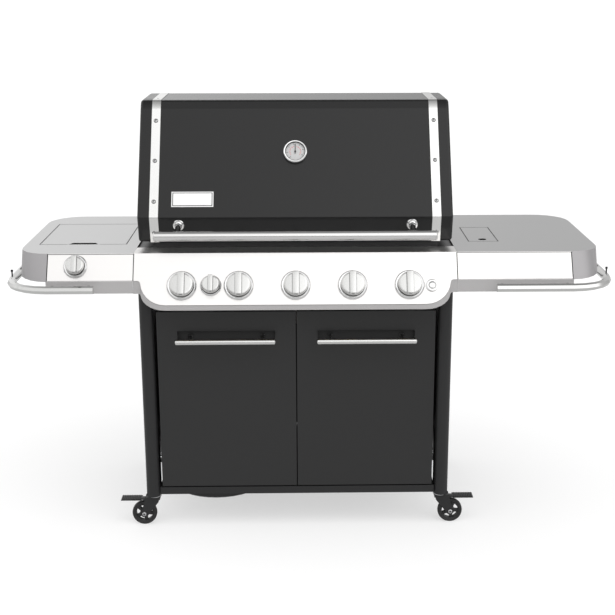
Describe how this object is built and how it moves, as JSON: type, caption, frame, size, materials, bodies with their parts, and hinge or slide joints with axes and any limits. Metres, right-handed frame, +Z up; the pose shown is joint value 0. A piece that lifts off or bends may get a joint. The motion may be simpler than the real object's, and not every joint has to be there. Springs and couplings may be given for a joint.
{
  "type": "gas barbecue grill",
  "caption": "Cabinet gas barbecue grill with a hinged hood, sloping knob panel, side burner table, storage table, wrap-round rails, double doors and swivel casters.",
  "frame": {"origin": "on the floor, under the middle of the overall box of the closed grill", "axes": "+Z up, +X to the right as seen from the front, +Y from the front towards the back"},
  "size_m": [1.862, 0.7238, 1.352],
  "materials": {
    "brushed_steel": "brushed, satin",
    "polished_steel": "polished, bright",
    "black_enamel": "satin-gloss enamel",
    "black_paint": "satin powder coat",
    "grey_paint": "silver-grey satin paint",
    "cast_iron": "matt enamelled casting",
    "cast_aluminium": "black coated casting",
    "brass": "machined",
    "wheel_rubber": "moulded, satin"
  },
  "bodies": {
    "cart": {"back_panel": "black_paint", "base_panel": "black_paint", "broiler_burner": "brushed_steel", "control_panel": "brushed_steel", "cookbox": "cast_aluminium", "cooking_grate_left": "cast_iron", "cooking_grate_right": "cast_iron", "cylinder_dish": "black_paint", "front_leg_left": "black_paint", "front_leg_right": "black_paint", "gas_manifold": "brass", "heat_tents": "brushed_steel", "main_burners": "brushed_steel", "panel_surround": "grey_paint", "rail_left": "polished_steel", "rail_right": "polished_steel", "side_burner": "brass", "side_burner_grate": "cast_iron", "side_frame_left": "black_paint", "side_frame_right": "black_paint", "side_panel_left": "black_paint", "side_panel_right": "black_paint", "table_left": "brushed_steel", "table_right": "brushed_steel", "tray_subframe": "black_paint", "warming_rack": "polished_steel"},
    "lid": {"lid_shell": "black_enamel", "lid_cap_left": "cast_aluminium", "lid_cap_right": "cast_aluminium", "lid_trim_left": "polished_steel", "lid_trim_right": "polished_steel", "lid_handle": "polished_steel", "thermometer": "polished_steel"},
    "needle": {"thermometer_needle": "black_enamel"},
    "left_door": {"door_left": "black_paint", "door_handle_left": "polished_steel"},
    "right_door": {"door_right": "black_paint", "door_handle_right": "polished_steel"},
    "burner_flap": {"side_burner_lid": "brushed_steel"},
    "hatch_flap": {"hatch_lid": "brushed_steel"},
    "broiler_knob": {"knob_broiler": "brushed_steel"},
    "side_burner_knob": {"knob_side_burner": "brushed_steel"},
    "panel_button": {"light_button": "polished_steel"},
    "drip_tray": {"grease_tray": "brushed_steel"},
    "main_knob_1": {"knob_main_1": "brushed_steel"},
    "main_knob_2": {"knob_main_2": "brushed_steel"},
    "main_knob_3": {"knob_main_3": "brushed_steel"},
    "main_knob_4": {"knob_main_4": "brushed_steel"},
    "main_knob_5": {"knob_main_5": "brushed_steel"},
    "fork_front_left": {"caster_fork_front_left": "grey_paint"},
    "wheel_front_left": {"caster_wheel_front_left": "wheel_rubber"},
    "pedal_front_left": {"caster_pedal_front_left": "black_paint"},
    "fork_front_right": {"caster_fork_front_right": "grey_paint"},
    "wheel_front_right": {"caster_wheel_front_right": "wheel_rubber"},
    "pedal_front_right": {"caster_pedal_front_right": "black_paint"},
    "fork_rear_left": {"caster_fork_rear_left": "grey_paint"},
    "wheel_rear_left": {"caster_wheel_rear_left": "wheel_rubber"},
    "fork_rear_right": {"caster_fork_rear_right": "grey_paint"},
    "wheel_rear_right": {"caster_wheel_rear_right": "wheel_rubber"}
  },
  "joints": [
    {"name": "lid_hinge", "type": "hinge", "parent": "cart", "child": "lid", "pos_m": [-0.0455, 0.24992, 0.985], "axis": [-1, 0, 0], "range_deg": [0, 75]},
    {"name": "needle_turn", "type": "hinge", "parent": "lid", "child": "needle", "pos_m": [-0.0455, -0.11026, 1.20127], "axis": [0, -0.8645, 0.5026], "range_deg": [-130, 130]},
    {"name": "left_door_hinge", "type": "hinge", "parent": "cart", "child": "left_door", "pos_m": [-0.472, -0.24168, 0.145], "axis": [0, 0, -1], "range_deg": [0, 110]},
    {"name": "right_door_hinge", "type": "hinge", "parent": "cart", "child": "right_door", "pos_m": [0.381, -0.24168, 0.145], "axis": [0, 0, 1], "range_deg": [0, 110]},
    {"name": "burner_flap_hinge", "type": "hinge", "parent": "cart", "child": "burner_flap", "pos_m": [-0.712, 0.18992, 0.9145], "axis": [-1, 0, 0], "range_deg": [0, 100]},
    {"name": "hatch_flap_hinge", "type": "hinge", "parent": "cart", "child": "hatch_flap", "pos_m": [0.5485, 0.10742, 0.9145], "axis": [-1, 0, 0], "range_deg": [0, 100]},
    {"name": "main_knob_1_turn", "type": "hinge", "parent": "cart", "child": "main_knob_1", "pos_m": [-0.3891, -0.3123, 0.82499], "axis": [0, -0.8625, 0.506], "range_deg": [0, 220]},
    {"name": "main_knob_2_turn", "type": "hinge", "parent": "cart", "child": "main_knob_2", "pos_m": [-0.2173, -0.3123, 0.82499], "axis": [0, -0.8625, 0.506], "range_deg": [0, 220]},
    {"name": "main_knob_3_turn", "type": "hinge", "parent": "cart", "child": "main_knob_3", "pos_m": [-0.0455, -0.3123, 0.82499], "axis": [0, -0.8625, 0.506], "range_deg": [0, 220]},
    {"name": "main_knob_4_turn", "type": "hinge", "parent": "cart", "child": "main_knob_4", "pos_m": [0.1263, -0.3123, 0.82499], "axis": [0, -0.8625, 0.506], "range_deg": [0, 220]},
    {"name": "main_knob_5_turn", "type": "hinge", "parent": "cart", "child": "main_knob_5", "pos_m": [0.2981, -0.3123, 0.82499], "axis": [0, -0.8625, 0.506], "range_deg": [0, 220]},
    {"name": "broiler_knob_turn", "type": "hinge", "parent": "cart", "child": "broiler_knob", "pos_m": [-0.3013, -0.3123, 0.82499], "axis": [0, -0.8625, 0.506], "range_deg": [0, 220]},
    {"name": "side_burner_knob_turn", "type": "hinge", "parent": "cart", "child": "side_burner_knob", "pos_m": [-0.7102, -0.28118, 0.87803], "axis": [0, -0.8625, 0.506], "range_deg": [0, 220]},
    {"name": "panel_button_press", "type": "slide", "parent": "cart", "child": "panel_button", "axis": [0, 0.8625, -0.506], "range_m": [0, 0.0025], "stiffness_N_per_m": 300},
    {"name": "drip_tray_slide", "type": "slide", "parent": "cart", "child": "drip_tray", "axis": [0, 1, 0], "range_m": [0, 0.36]},
    {"name": "swivel_front_left", "type": "hinge", "parent": "cart", "child": "fork_front_left", "pos_m": [-0.5085, -0.21508, 0], "axis": [0, 0, 1], "continuous": true},
    {"name": "axle_front_left", "type": "hinge", "parent": "fork_front_left", "child": "wheel_front_left", "pos_m": [-0.5435, -0.21508, 0.04], "axis": [0, 1, 0], "continuous": true},
    {"name": "brake_front_left", "type": "hinge", "parent": "fork_front_left", "child": "pedal_front_left", "pos_m": [-0.5325, -0.21508, 0.0905], "axis": [0, -1, 0], "range_deg": [0, 9]},
    {"name": "swivel_front_right", "type": "hinge", "parent": "cart", "child": "fork_front_right", "pos_m": [0.4175, -0.21508, 0], "axis": [0, 0, 1], "continuous": true},
    {"name": "axle_front_right", "type": "hinge", "parent": "fork_front_right", "child": "wheel_front_right", "pos_m": [0.4525, -0.21508, 0.04], "axis": [0, 1, 0], "continuous": true},
    {"name": "brake_front_right", "type": "hinge", "parent": "fork_front_right", "child": "pedal_front_right", "pos_m": [0.4415, -0.21508, 0.0905], "axis": [0, 1, 0], "range_deg": [0, 9]},
    {"name": "swivel_rear_left", "type": "hinge", "parent": "cart", "child": "fork_rear_left", "pos_m": [-0.5085, 0.29592, 0], "axis": [0, 0, 1], "continuous": true},
    {"name": "axle_rear_left", "type": "hinge", "parent": "fork_rear_left", "child": "wheel_rear_left", "pos_m": [-0.5435, 0.29592, 0.04], "axis": [0, 1, 0], "continuous": true},
    {"name": "swivel_rear_right", "type": "hinge", "parent": "cart", "child": "fork_rear_right", "pos_m": [0.4175, 0.29592, 0], "axis": [0, 0, 1], "continuous": true},
    {"name": "axle_rear_right", "type": "hinge", "parent": "fork_rear_right", "child": "wheel_rear_right", "pos_m": [0.4525, 0.29592, 0.04], "axis": [0, 1, 0], "continuous": true}
  ]
}
